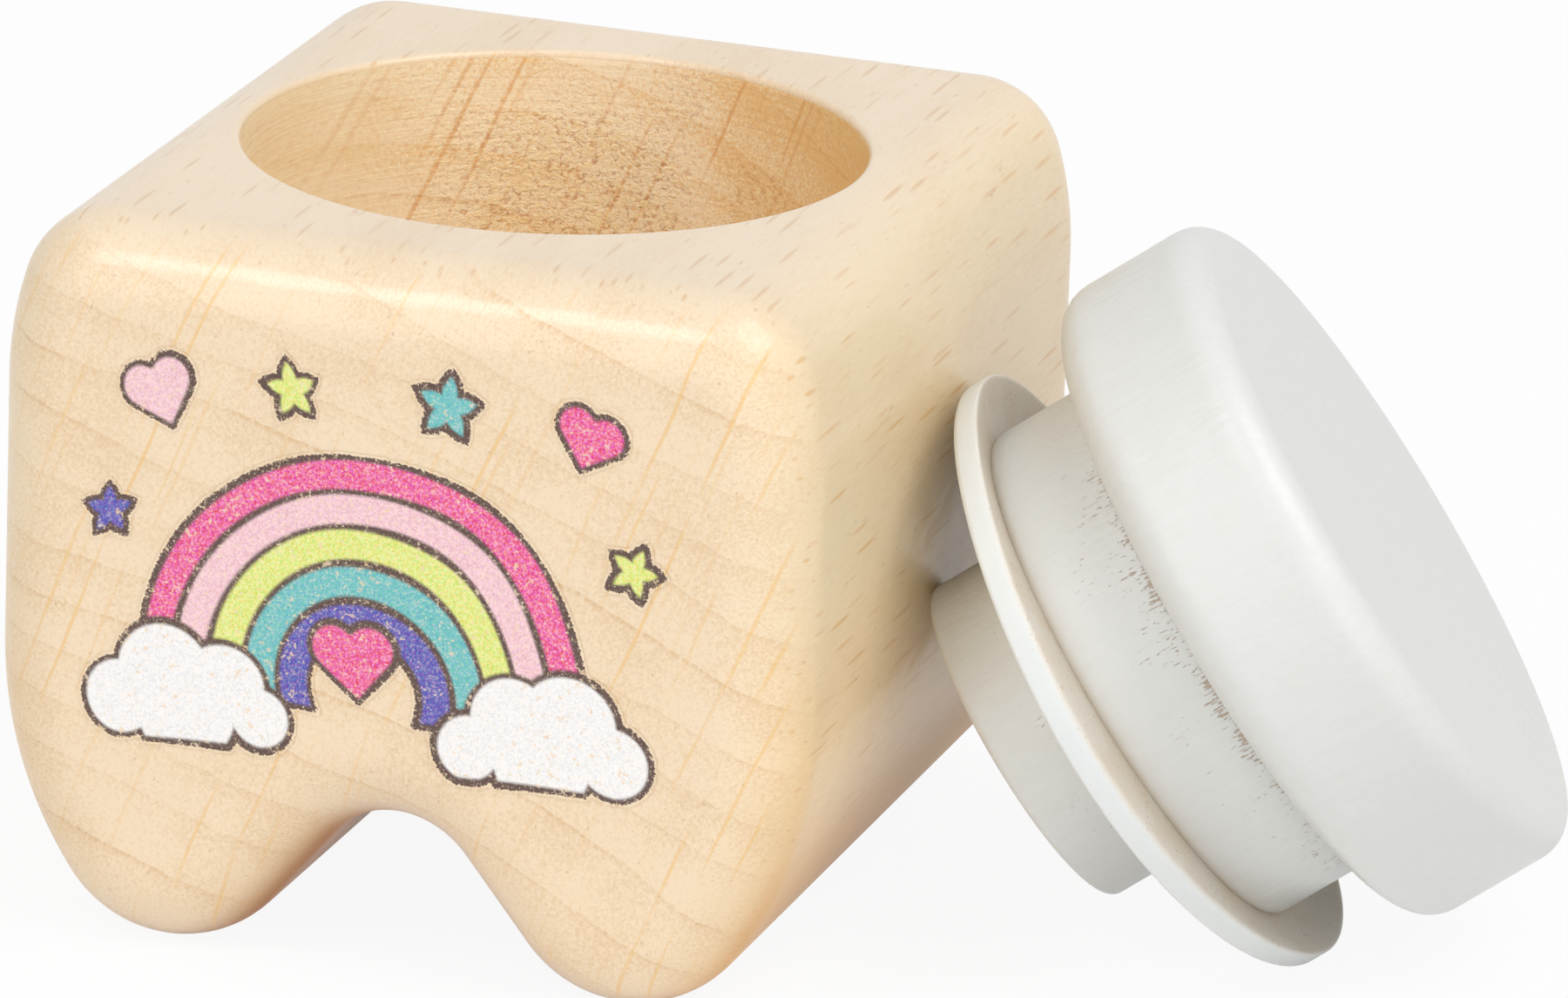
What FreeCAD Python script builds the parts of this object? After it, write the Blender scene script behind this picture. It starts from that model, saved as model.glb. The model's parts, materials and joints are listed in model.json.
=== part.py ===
"""Keepsake box for milk teeth: a beech block in the outline of a molar, with a bored chamber,
and a turned white stopper with a soft sealing ring, taken off and leant against the block.

Millimetres. +Z is up, the block's front face looks along -Y, and the origin is on the standing
plane, under the axis of the chamber."""
import FreeCAD, Part
import math
import os
from FreeCAD import Placement, Rotation, Vector

# Block
body_width = 47.0            # across the flat stretch of the sides
body_height = 41.3           # from the standing flats to the top face
body_depth = 52.6            # front face to back face
edge_round = 4.7             # rounding of the front and back outlines
top_corner_radius = 5.4      # corners of the outline beside the top face
shoulder_drop = 10.0         # from the top face down to the flat stretch of the side
shoulder_lean = 0.7          # how far the top corner stands in from the side
waist_height = 16.2          # from the standing flats up to the flat stretch of the side
root_radius = 7.35           # round end of each root
root_lean = 2.85             # how far the root stands in from the side
root_flat = 3.0              # width of the flat that each root stands on
arch_radius = 5.0            # crown of the channel between the roots
arch_height = 8.95           # from the standing flats up to that crown

# Chamber
bore_radius = 17.5
bore_depth = 26.0
mouth_bevel = 0.4            # broken edge at the mouth

# Stopper
cap_overlap = 2.5            # how far the cap reaches past the bore
cap_thickness = 9.85
cap_top_round = 2.0
cap_under_round = 2.2
plug_clearance = 2.15        # plug to bore, all round
plug_length = 6.7
plug_bevel = 0.9             # broken lower edge of the plug
neck_radius = 7.0
foot_radius = 9.9
foot_length = 5.85
foot_bevel = 0.5             # broken lower edge of the foot

# Sealing ring
ring_squeeze = 1.0           # how far the ring has to bend in to enter the bore
ring_thickness = 1.55
lip_floor = 2.05             # rise of the lip towards the cap, where it stands on the floor
lip_block = 1.45             # the same at the opposite end, beside the block
lip_back = 1.5               # the same at the back
lip_front = -0.6             # the same at the front, where the lip hangs a little
ring_play = 0.05             # ring to plug and ring to foot, along the axis
neck_play = 0.3              # ring to neck, all round

# How the stopper lies
lid_tilt = 34.7              # degrees between its axis and the floor
lid_yaw = 15.9               # degrees that its axis turns back from the block's side
lid_back = 0.8               # how far it lies back from the block's middle
lean_gap = 0.10              # stopper to block

# Modelling
same_point = 1e-6            # points nearer than this are one
round_share = 0.9            # the outline's rounding stays under this share of its tightest corner
push_end = 1e-4              # the stopper has arrived when it is this near to its gap
push_limit = 40
rim_points = 24              # points that the bent ring's curves go through

cap_radius = bore_radius + cap_overlap
plug_radius = bore_radius - plug_clearance
ring_radius = bore_radius + ring_squeeze
ring_hole_radius = neck_radius + neck_play


def arc(centre, radius, start, end):
    """Arc about a centre in the XZ plane, from one angle to another, in degrees from +X to +Z."""
    points = []
    for angle in (start, (start + end) / 2, end):
        turn = math.radians(angle)
        points.append(centre + radius * Vector(math.cos(turn), 0, math.sin(turn)))
    return Part.Arc(*points).toShape()


def direction(vector):
    """Angle of a vector in the XZ plane, in degrees."""
    return math.degrees(math.atan2(vector.z, vector.x))


def joined(arcs):
    """The arcs in order, with straight edges over the gaps between them, as a list of edges."""
    edges = []
    for number, piece in enumerate(arcs):
        if number:
            before = arcs[number - 1].lastVertex(True).Point
            after = piece.firstVertex(True).Point
            if before.distanceToPoint(after) > same_point:
                edges.append(Part.LineSegment(before, after).toShape())
        edges.append(piece)
    return edges


def side_arc(corner, corner_radius, side, level):
    """Centre and radius of the arc that leaves the straight side at a level and runs into a corner.

    The arc touches the line x = side at that level and holds the corner's circle from outside:
    the distance of the two centres is the difference of the two radii."""
    inset = side - corner.x
    rise = corner.z - level
    radius = (inset ** 2 + rise ** 2 - corner_radius ** 2) / (2 * (inset - corner_radius))
    return Vector(side - radius, 0, level), radius


def right_outline():
    """Right half of the tooth outline as arcs, from the middle of the arch up to the top corner.

    The lowest points of the roots lie below the standing plane by what the flats take off."""
    side = body_width / 2
    root_level = math.sqrt(root_radius ** 2 - (root_flat / 2) ** 2)
    root = Vector(side - root_radius - root_lean, 0, root_level)
    corner = Vector(side - top_corner_radius - shoulder_lean, 0, body_height - top_corner_radius)

    # The arch is no wider than the circle that would touch both roots
    reach = root.x ** 2 + (root.z - arch_height) ** 2 - root_radius ** 2
    widest = reach / (2 * (root_radius - root.z + arch_height))
    crown_radius = min(arch_radius, widest)
    crown = Vector(0, 0, arch_height - crown_radius)

    # The flank is the line that touches the root and the crown from opposite sides
    spread = math.degrees(math.acos(min(1.0, (root_radius + crown_radius) / root.distanceToPoint(crown))))
    flank = (direction(crown - root) + spread) % 360
    lower, lower_radius = side_arc(root, root_radius, side, waist_height)
    upper, upper_radius = side_arc(corner, top_corner_radius, side, body_height - shoulder_drop)
    into_root = direction(root - lower)
    into_corner = direction(corner - upper)
    return [
        arc(crown, crown_radius, 90, flank - 180),
        arc(root, root_radius, flank, 360 + into_root),
        arc(lower, lower_radius, into_root, 0),
        arc(upper, upper_radius, 0, into_corner),
        arc(corner, top_corner_radius, into_corner, 90),
    ]


def chamber():
    """Solid of the bored chamber: a cylinder that widens at the mouth by the broken edge."""
    floor = body_height - bore_depth
    mouth_radius = bore_radius + mouth_bevel
    above = body_height + mouth_bevel
    outline = [
        Vector(0, 0, floor),
        Vector(bore_radius, 0, floor),
        Vector(bore_radius, 0, body_height - mouth_bevel),
        Vector(mouth_radius, 0, body_height),
        Vector(mouth_radius, 0, above),
        Vector(0, 0, above),
    ]
    return turned(Part.makePolygon(outline + outline[:1]).Edges)


def turned(edges):
    """Solid turned about the Z axis from a closed outline in the XZ plane."""
    face = Part.Face(Part.Wire(Part.__sortEdges__(edges)))
    return face.revolve(Vector(0, 0, 0), Vector(0, 0, 1), 360)


def tooth_body():
    """Block of constant tooth outline with rounded front and back edges, standing flats and chamber."""
    right = joined(right_outline())
    left = [edge.mirror(Vector(0, 0, 0), Vector(1, 0, 0)) for edge in right]
    top_right = right[-1].lastVertex(True).Point
    top = Part.LineSegment(top_right, Vector(-top_right.x, 0, top_right.z)).toShape()
    outline = Part.Wire(Part.__sortEdges__(right + [top] + left))
    outline.translate(Vector(0, -body_depth / 2, 0))
    block = Part.Face(outline).extrude(Vector(0, body_depth, 0))

    rounding = min(edge_round, round_share * min(top_corner_radius, root_radius))
    rims = [edge for edge in block.Edges if edge.BoundBox.YLength < same_point]
    block = block.makeFillet(rounding, rims)

    below = Part.makeBox(2 * body_width, 2 * body_depth, root_radius)
    below.translate(Vector(-body_width, -body_depth, -root_radius))
    return block.cut(below).cut(chamber()).removeSplitter()


def ring_level():
    """Upper face of the ring's flat part, which bears on the end of the plug."""
    return -plug_length - ring_play


def lip_rise(turn):
    """Rise of the lip's rim over the ring's flat part, at an angle about the lid's axis.

    It goes round from the floor's side, at 0, by the back to the block's side and the front."""
    along = math.cos(turn)
    across = math.sin(turn)
    rise = (lip_floor + lip_block) / 2 * along ** 2 + (lip_floor - lip_block) / 2 * along
    return rise + (lip_back + lip_front) / 2 * across ** 2 + (lip_back - lip_front) / 2 * across


def ring_curve(radius, level, share):
    """Closed smooth curve about the lid's axis, which takes a share of the lip's rise."""
    points = []
    for number in range(rim_points):
        turn = 2 * math.pi * number / rim_points
        points.append(Vector(radius * math.cos(turn), radius * math.sin(turn), level + share * lip_rise(turn)))
    curve = Part.BSplineCurve()
    curve.interpolate(points, PeriodicFlag=True)
    return curve.toShape()


def lid_stopper():
    """Stopper about its own axis, with the cap's underside at z = 0 and the plug below it."""
    foot_top = ring_level() - ring_thickness - ring_play
    foot_end = foot_top - foot_length
    top_edge = arc(Vector(cap_radius - cap_top_round, 0, cap_thickness - cap_top_round), cap_top_round, 90, 0)
    under_edge = arc(Vector(cap_radius - cap_under_round, 0, cap_under_round), cap_under_round, 0, -90)
    cap_edges = joined([top_edge, under_edge])
    outline = [
        under_edge.lastVertex(True).Point,
        Vector(plug_radius, 0, 0),
        Vector(plug_radius, 0, plug_bevel - plug_length),
        Vector(plug_radius - plug_bevel, 0, -plug_length),
        Vector(neck_radius, 0, -plug_length),
        Vector(neck_radius, 0, foot_top),
        Vector(foot_radius, 0, foot_top),
        Vector(foot_radius, 0, foot_end + foot_bevel),
        Vector(foot_radius - foot_bevel, 0, foot_end),
        Vector(0, 0, foot_end),
        Vector(0, 0, cap_thickness),
        top_edge.firstVertex(True).Point,
    ]
    return turned(cap_edges + Part.makePolygon(outline).Edges)


def sealing_ring():
    """Ring that is flat under the plug, with its lip bent at the edge of the plug's end."""
    bend_radius = plug_radius - plug_bevel
    rims = []
    faces = []
    for level in (ring_level(), ring_level() - ring_thickness):
        bend = ring_curve(bend_radius, level, 0.0)
        rim = ring_curve(ring_radius, level, 1.0)
        faces.append(Part.Face(Part.Wire(bend)))
        faces.append(Part.makeRuledSurface(bend, rim))
        rims.append(rim)
    faces.append(Part.makeRuledSurface(*rims))
    shell = Part.makeShell(faces)
    shell.sewShape()
    disc = Part.makeSolid(shell)
    hole = Part.makeCylinder(ring_hole_radius, 3 * ring_thickness, Vector(0, 0, ring_level() - 2 * ring_thickness))
    return disc.cut(hole)


def laid_down(pieces, support):
    """The pieces turned together, set on the standing plane and pushed along -X up to the support.

    Each push is shorter than the distance that is left, so they come to rest the gap away."""
    lean = Rotation(Vector(0, 0, 1), lid_yaw) * Rotation(Vector(0, 1, 0), 90 - lid_tilt)
    placed = []
    for piece in pieces:
        piece = piece.copy()
        piece.Placement = Placement(Vector(body_width, lid_back, 0), lean)
        placed.append(piece)
    group = Part.Compound(placed)
    drop = -group.optimalBoundingBox(False, False).ZMin
    shift = Vector(0, 0, drop)
    for push in range(push_limit):
        group.Placement = Placement(shift, Rotation())
        left = group.distToShape(support)[0] - lean_gap
        if left < push_end:
            break
        shift = shift - Vector(left, 0, 0)
    for piece in placed:
        piece.Placement = Placement(shift, Rotation()) * piece.Placement
    return placed


def main():
    body = tooth_body()
    stopper, ring = laid_down([lid_stopper(), sealing_ring()], body)
    os.makedirs("parts", exist_ok=True)
    for name, shape in (("tooth_body", body), ("lid_stopper", stopper), ("sealing_ring", ring)):
        shape.exportStep("parts/" + name + ".step")
        box = shape.optimalBoundingBox(False, False)
        print(name, shape.isValid(), len(shape.Solids), "volume", round(shape.Volume, 1), box)
    reach = foot_length + ring_thickness + 2 * ring_play - ring_level()
    print("shut: plug clear by", plug_clearance, "ring bent in by", ring_squeeze,
          "foot above the chamber floor by", round(bore_depth - reach, 2))


main()
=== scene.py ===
"""Keepsake box for milk teeth: beech block in the outline of a molar, front print, white stopper, soft ring.

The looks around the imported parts, in their frame and in metres: +Z up, the printed face towards -Y, and the
lid lying against the +X side of the block."""
import json
import math

import bpy
import numpy as np
from bpy.props import FloatProperty, FloatVectorProperty, PointerProperty
from bpy.types import Operator, Panel, PropertyGroup
from mathutils import Matrix, Vector


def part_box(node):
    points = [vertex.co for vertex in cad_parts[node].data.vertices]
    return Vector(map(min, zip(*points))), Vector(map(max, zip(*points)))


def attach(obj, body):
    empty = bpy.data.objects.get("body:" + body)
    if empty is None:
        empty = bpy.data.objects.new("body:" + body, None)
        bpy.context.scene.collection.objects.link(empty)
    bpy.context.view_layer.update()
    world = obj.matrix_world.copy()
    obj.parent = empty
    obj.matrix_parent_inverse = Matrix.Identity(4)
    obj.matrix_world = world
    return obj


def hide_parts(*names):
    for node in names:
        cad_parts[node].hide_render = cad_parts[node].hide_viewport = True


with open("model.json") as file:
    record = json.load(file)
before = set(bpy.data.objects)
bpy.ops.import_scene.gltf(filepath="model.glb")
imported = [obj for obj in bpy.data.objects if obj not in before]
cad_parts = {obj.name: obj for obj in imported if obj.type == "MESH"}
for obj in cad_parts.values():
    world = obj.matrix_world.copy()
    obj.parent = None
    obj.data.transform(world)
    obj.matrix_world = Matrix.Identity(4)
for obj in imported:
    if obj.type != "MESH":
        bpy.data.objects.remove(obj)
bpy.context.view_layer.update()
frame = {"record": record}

bl_info = {
    "name": "Tooth keepsake box",
    "version": (1, 0, 0),
    "blender": (4, 5, 0),
    "location": "3D View > Sidebar > Tooth box",
    "description": "Builds the finished surfaces of a wooden keepsake box for milk teeth",
    "category": "Object",
}

MM = 0.001
block_low, block_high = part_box("tooth_body")
block_size = (block_high - block_low) / MM
mouth = next(mount for mount in frame["record"]["mounts"] if mount["name"] == "mouth")


# Properties

def linear(value):
    """Linear light of one sRGB channel given from 0 to 255."""
    level = value / 255
    if level <= 0.04045:
        return level / 12.92
    return ((level + 0.055) / 1.055) ** 2.4


def length(name, description, millimetres):
    """Size property, given in millimetres and kept in metres."""
    return FloatProperty(name=name, description=description, default=millimetres * MM,
                         unit="LENGTH", precision=5)


def turn(name, description, degrees):
    """Angle property, given in degrees and kept in radians."""
    return FloatProperty(name=name, description=description, default=math.radians(degrees), subtype="ANGLE")


def share(name, description, value):
    """Property from 0 to 1."""
    return FloatProperty(name=name, description=description, default=value, min=0.0, max=1.0,
                         subtype="FACTOR")


def power(name, description, watts):
    """Power of a lamp."""
    return FloatProperty(name=name, description=description, default=watts, min=0.0, unit="POWER")


def tint(name, description, red, green, blue):
    """Colour property, given in sRGB from 0 to 255 and kept linear."""
    return FloatVectorProperty(name=name, description=description, size=3, subtype="COLOR", min=0.0, max=1.0,
                               default=(linear(red), linear(green), linear(blue)))


class BlockSettings(PropertyGroup):
    width: length("Width", "Across the flat stretch of the sides", block_size.x)
    depth: length("Depth", "Front face to back face", block_size.y)
    height: length("Height", "Standing flats to top face", block_size.z)
    edge_round: length("Edge rounding", "Rounding of the front and back outlines", 4.7)
    corner_radius: length("Top corner", "Radius of the outline beside the top face", 5.4)
    shoulder_drop: length("Shoulder drop", "Top face down to the flat stretch of the side", 10.0)
    shoulder_lean: length("Shoulder lean", "How far the top corner stands in from the side", 0.7)
    waist_height: length("Waist height", "Standing flats up to the flat stretch of the side", 16.2)
    root_radius: length("Root radius", "Round end of each root", 7.35)
    root_lean: length("Root lean", "How far a root stands in from the side", 2.85)
    root_flat: length("Root flat", "Width of the flat that each root stands on", 3.0)
    arch_radius: length("Arch radius", "Crown of the channel between the roots", 5.0)
    arch_height: length("Arch height", "Standing flats up to that crown", 8.95)
    bore_radius: length("Bore radius", "Radius of the chamber", mouth["dims"]["r_mm"])
    bore_depth: length("Bore depth", "Top face down to the chamber's floor", 26.0)
    mouth_round: length("Mouth rounding", "Broken edge at the mouth of the chamber", 0.4)
    floor_round: length("Floor rounding", "Corner between the chamber's wall and floor", 0.6)


class StopperSettings(PropertyGroup):
    cap_radius: length("Cap radius", "Radius of the cap", 20.0)
    cap_thickness: length("Cap thickness", "Underside to top of the cap", 9.85)
    cap_top_round: length("Cap top rounding", "Upper edge of the cap", 2.0)
    cap_under_round: length("Cap lower rounding", "Lower edge of the cap", 2.2)
    plug_radius: length("Plug radius", "Radius of the plug under the cap", 15.35)
    plug_length: length("Plug length", "Length of the plug", 6.7)
    plug_round: length("Plug rounding", "Lower edge of the plug", 0.9)
    plug_sink: length("Plug sink", "How far the plug's end is pressed into the soft ring", 0.3)
    neck_radius: length("Neck radius", "Radius of the neck that carries the ring", 7.0)
    neck_length: length("Neck length", "Plug to foot", 1.65)
    foot_radius: length("Foot radius", "Radius of the foot", 9.9)
    foot_length: length("Foot length", "Length of the foot", 5.85)
    foot_round: length("Foot rounding", "Edges of the foot", 0.55)
    corner_fill: length("Corner fill", "Paint that fills the hollow corners", 0.22)
    tilt: turn("Tilt", "Angle between the lid's axis and the floor", 34.7)
    yaw: turn("Yaw", "Turn of the lid's axis away from the block's side", 15.9)


class RingSettings(PropertyGroup):
    radius: length("Radius", "Outer radius of the sealing ring", 18.5)
    hole_radius: length("Hole radius", "Radius of the ring's hole", 7.3)
    thickness: length("Thickness", "Thickness of the ring", 1.55)
    level: length("Level", "Flat part of the upper face, below the cap's underside", 6.7)
    flat_radius: length("Flat radius", "Where the lip begins, at the edge of the plug's end", 14.45)
    lip_floor: length("Lip on the floor", "Rise of the lip where it stands on the floor", 2.05)
    lip_block: length("Lip by the block", "Rise of the lip at the opposite end", 1.45)
    lip_back: length("Lip at the back", "Rise of the lip at the back", 1.5)
    lip_front: length("Lip at the front", "Rise of the lip at the front, where it hangs a little", -0.6)
    edge_round: length("Edge rounding", "Moulded edges of the ring", 0.28)


class BeechSettings(PropertyGroup):
    pale: tint("Pale wood", "Early wood under lacquer", 243, 221, 190)
    warm: tint("Warm wood", "Late wood under lacquer", 231, 202, 164)
    line: tint("Ring line", "Edge of a growth ring", 214, 168, 108)
    ray: tint("Ray", "Wood rays on the end grain", 238, 192, 116)
    fleck: tint("Fleck", "Wood rays on the top", 213, 178, 138)
    side_fleck: tint("Side fleck", "Wood rays on the sides", 226, 178, 112)
    pore: tint("Pore", "Pores and fine specks", 170, 118, 74)
    side: tint("Side tone", "Tone of the sides against the front", 255, 255, 246)
    # Painted shade: the lower sides darker and warmer, as shade by the floor and the lid.
    low_side_shade: tint("Low side tone", "Tone of the lower sides against the front", 255, 244, 217)
    # Partly the top's own cut of grain, partly painted shade for less light from above.
    top: tint("Top tone", "Tone of the top against the front", 246, 248, 252)
    # Painted shade: darker, warmer tones for the outer undersides and, deeper, the channel between the roots.
    under: tint("Under tone", "Tone of the outer undersides against the front", 240, 214, 180)
    arch: tint("Arch tone", "Tone of the channel between the roots against the front", 192, 140, 64)
    raw_pale: tint("Pale bare wood", "Early wood in the chamber", 254, 237, 207)
    raw_warm: tint("Warm bare wood", "Late wood in the chamber", 242, 203, 145)
    raw_ray: tint("Bare ray", "Wood rays in the chamber", 226, 164, 92)
    pit: tint("Pit", "Holes torn into the bare wood", 196, 132, 70)
    crumb: tint("Crumb", "Torn fibres that stand out of the bare wood", 252, 230, 182)
    ring_spacing: length("Ring spacing", "Distance between growth rings", 3.3)
    pith_distance: length("Pith distance", "From the block's middle to the tree's pith", 165.0)
    ring_turn: turn("Ring turn", "Slope of the rings, falling to the right", 21.8)
    lacquer_roughness: share("Lacquer roughness", "Roughness of the satin lacquer", 0.19)


class LacquerSettings(PropertyGroup):
    white: tint("White", "White lacquer of the stopper", 221, 222, 219)
    shade: tint("Thin lacquer", "Where the white lies thin over wood", 216, 214, 206)
    # Partly rubbed lacquer, partly painted shade where the plug's end meets the ring.
    worn: tint("Worn edge", "Lacquer rubbed by the ring at the end of the plug", 216, 198, 172)
    skip: tint("Missed spots", "Wood that the lacquer missed", 174, 140, 108)
    silicone: tint("Silicone", "Milky silicone of the ring", 224, 227, 226)
    dust: tint("Dust", "Dust that sticks to the ring", 214, 200, 180)


class PrintSettings(PropertyGroup):
    centre_x: length("Centre across", "Middle of the print, from the block's middle", -1.0)
    centre_z: length("Centre height", "Foot of the rainbow above the standing flats", 17.0)
    spacing: length("Grid spacing", "Distance between the points of the film", 0.105)
    line_width: length("Line width", "Width of the drawn lines", 0.40)
    film: length("Film", "Height of the printed film over the face", 0.039)
    wobble: length("Wobble", "How far the hand-drawn lines stray", 0.16)
    outline: tint("Outline", "Drawn lines", 98, 76, 68)
    white: tint("White ink", "Clouds", 247, 245, 244)
    rose: tint("Rose ink", "Outer band and heart", 238, 100, 158)
    blush: tint("Blush ink", "Second band", 245, 200, 208)
    lime: tint("Lime ink", "Third band and stars", 229, 236, 130)
    teal: tint("Teal ink", "Fourth band", 116, 200, 200)
    violet: tint("Violet ink", "Inner band", 100, 92, 184)


class StageSettings(PropertyGroup):
    azimuth: turn("Camera azimuth", "Camera's turn round the block, from its front to its right", 19.082)
    elevation: turn("Camera elevation", "Camera's height above the horizon", 18.158)
    roll: turn("Camera roll", "Camera's turn about its own line of sight", 1.689)
    target_height: length("Target height", "Point over the origin that the camera is turned about", 22.56)
    distance: length("Camera distance", "Camera to that point", 733.06)
    aim_right: length("Aim to the right", "Point aimed at, to the right of the target", 13.36)
    aim_down: length("Aim below", "Point aimed at, below the target", 2.23)
    lens: FloatProperty(name="Lens", description="Focal length on a 36 mm sensor", default=300.0,
                        unit="CAMERA")
    tent: share("Tent", "Light of the white tent on the object", 0.35)
    lamp_distance: length("Lamp distance", "Softboxes to the block", 1200.0)
    key_azimuth: turn("Key azimuth", "Key softbox's turn, from the front to the right", -28.0)
    key_elevation: turn("Key elevation", "Key softbox's height above the horizon", 52.0)
    key_size: length("Key size", "Side of the key softbox", 330.0)
    key_power: power("Key power", "Power of the key softbox", 2.5)
    fill_azimuth: turn("Fill azimuth", "Right softbox's turn, from the front to the right", 74.0)
    fill_elevation: turn("Fill elevation", "Right softbox's height above the horizon", 58.0)
    fill_size: length("Fill size", "Side of the right softbox", 810.0)
    fill_power: power("Fill power", "Power of the right softbox", 8.0)
    front_azimuth: turn("Front azimuth", "Front softbox's turn, from the front to the right", -16.0)
    front_elevation: turn("Front elevation", "Front softbox's height above the horizon", 20.0)
    front_size: length("Front size", "Side of the front softbox", 840.0)
    front_power: power("Front power", "Power of the front softbox", 2.25)
    corner_azimuth: turn("Corner azimuth", "Corner softbox's turn, from the front to the right", 36.0)
    corner_elevation: turn("Corner elevation", "Corner softbox's height above the horizon", 8.0)
    corner_size: length("Corner size", "Side of the corner softbox", 810.0)
    corner_power: power("Corner power", "Power of the corner softbox", 2.8)
    floor_white: share("Floor white", "Share of the light that the floor throws back", 0.9)
    floor_size: length("Floor size", "Side of the floor", 6000.0)
    floor_glow: share("Floor glow", "How much of the floor is plain white, the rest takes shadow", 0.92)


class ToothBoxSettings(PropertyGroup):
    block: PointerProperty(type=BlockSettings)
    stopper: PointerProperty(type=StopperSettings)
    ring: PointerProperty(type=RingSettings)
    beech: PointerProperty(type=BeechSettings)
    lacquer: PointerProperty(type=LacquerSettings)
    front: PointerProperty(type=PrintSettings)
    stage: PointerProperty(type=StageSettings)


# Surfaces

class Shell:
    """A surface put together from grids of points. Faces point along row direction x column direction."""

    def __init__(self):
        self.count = 0
        self.points = []
        self.quads = []
        self.triangles = []
        self.quad_finish = []
        self.triangle_finish = []
        self.values = {}

    def add(self, points):
        """Keeps an array of points, shape (..., 3), and gives their numbers in the shape (...)."""
        flat = points.reshape(-1, 3)
        numbers = self.count + np.arange(len(flat)).reshape(points.shape[:-1])
        self.points.append(flat)
        self.count += len(flat)
        return numbers

    def sheet(self, numbers, closed=False, finish=0):
        """Quads over a grid of point numbers; a closed sheet joins its last column to its first."""
        if closed:
            numbers = np.concatenate([numbers, numbers[:, :1]], axis=1)
        corners = (numbers[:-1, :-1], numbers[1:, :-1], numbers[1:, 1:], numbers[:-1, 1:])
        quads = np.stack(corners, axis=-1).reshape(-1, 4)
        self.quads.append(quads)
        self.quad_finish.append(np.full(len(quads), finish))

    def fan(self, loop, pole, finish=0):
        """Triangles from a closed loop of point numbers to one pole."""
        triangles = np.stack([loop, np.full_like(loop, pole), np.roll(loop, -1)], axis=-1)
        self.triangles.append(triangles)
        self.triangle_finish.append(np.full(len(triangles), finish))

    def piece(self, name, materials):
        """Makes the object: points that no face uses are left out, and edges past an angle stay sharp."""
        sharp = math.radians(35)
        points = np.concatenate(self.points)
        quads = np.concatenate(self.quads)
        triangles = np.concatenate(self.triangles or [np.zeros((0, 3), int)])
        finishes = np.concatenate(self.quad_finish + self.triangle_finish)
        used = np.zeros(len(points), bool)
        used[quads] = True
        used[triangles] = True
        renumbered = np.cumsum(used) - 1
        faces = renumbered[quads].tolist() + renumbered[triangles].tolist()
        mesh = bpy.data.meshes.new(name)
        mesh.from_pydata(points[used].tolist(), [], faces)
        for key, values in self.values.items():
            colour = values.ndim == 2
            attribute = mesh.attributes.new(key, "FLOAT_COLOR" if colour else "FLOAT", "POINT")
            kept = values[used].astype(np.float32).ravel()
            attribute.data.foreach_set("color" if colour else "value", kept)
        mesh.polygons.foreach_set("material_index", finishes.astype(np.int32))
        mesh.shade_smooth()
        mesh.set_sharp_from_angle(angle=sharp)
        for material in materials:
            mesh.materials.append(material)
        mesh.validate()
        mesh.update()
        made = bpy.data.objects.new(name, mesh)
        bpy.context.scene.collection.objects.link(made)
        return made


def arc_points(centre, radius, start, end, step, hollow=False):
    """Points and outward normals on an arc in the XZ plane, without its last point.

    A point is centre + radius (cos a, sin a) with a going evenly from start to end, and its normal is
    (cos a, sin a), or the opposite where the arc is hollow."""
    count = max(2, math.ceil(abs(end - start) * radius / step))
    angle = start + (end - start) * np.arange(count) / count
    ray = np.stack([np.cos(angle), np.sin(angle)], axis=-1)
    return centre + radius * ray, -ray if hollow else ray


def line_points(start, end, step):
    """Points and outward normals on a straight edge, without its last point.

    The points are spaced evenly, and the normal is the edge's direction turned a quarter to the right."""
    run = end - start
    reach = np.linalg.norm(run)
    count = max(1, math.ceil(reach / step))
    points = start + run * (np.arange(count) / count)[:, None]
    normal = np.array([run[1], -run[0]]) / reach
    return points, np.broadcast_to(normal, points.shape)


def side_arc(corner, corner_radius, side, level):
    """Arc from the straight side into a corner's circle: centre, radius and the angle where they meet.

    It touches the line x = side at the level and holds the corner's circle inside it: the distance between
    the centres is the difference of the radii."""
    inset = side - corner[0]
    rise = corner[1] - level
    radius = (inset ** 2 + rise ** 2 - corner_radius ** 2) / (2 * (inset - corner_radius))
    centre = np.array([side - radius, level])
    return centre, radius, math.atan2(rise, corner[0] - centre[0])


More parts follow.
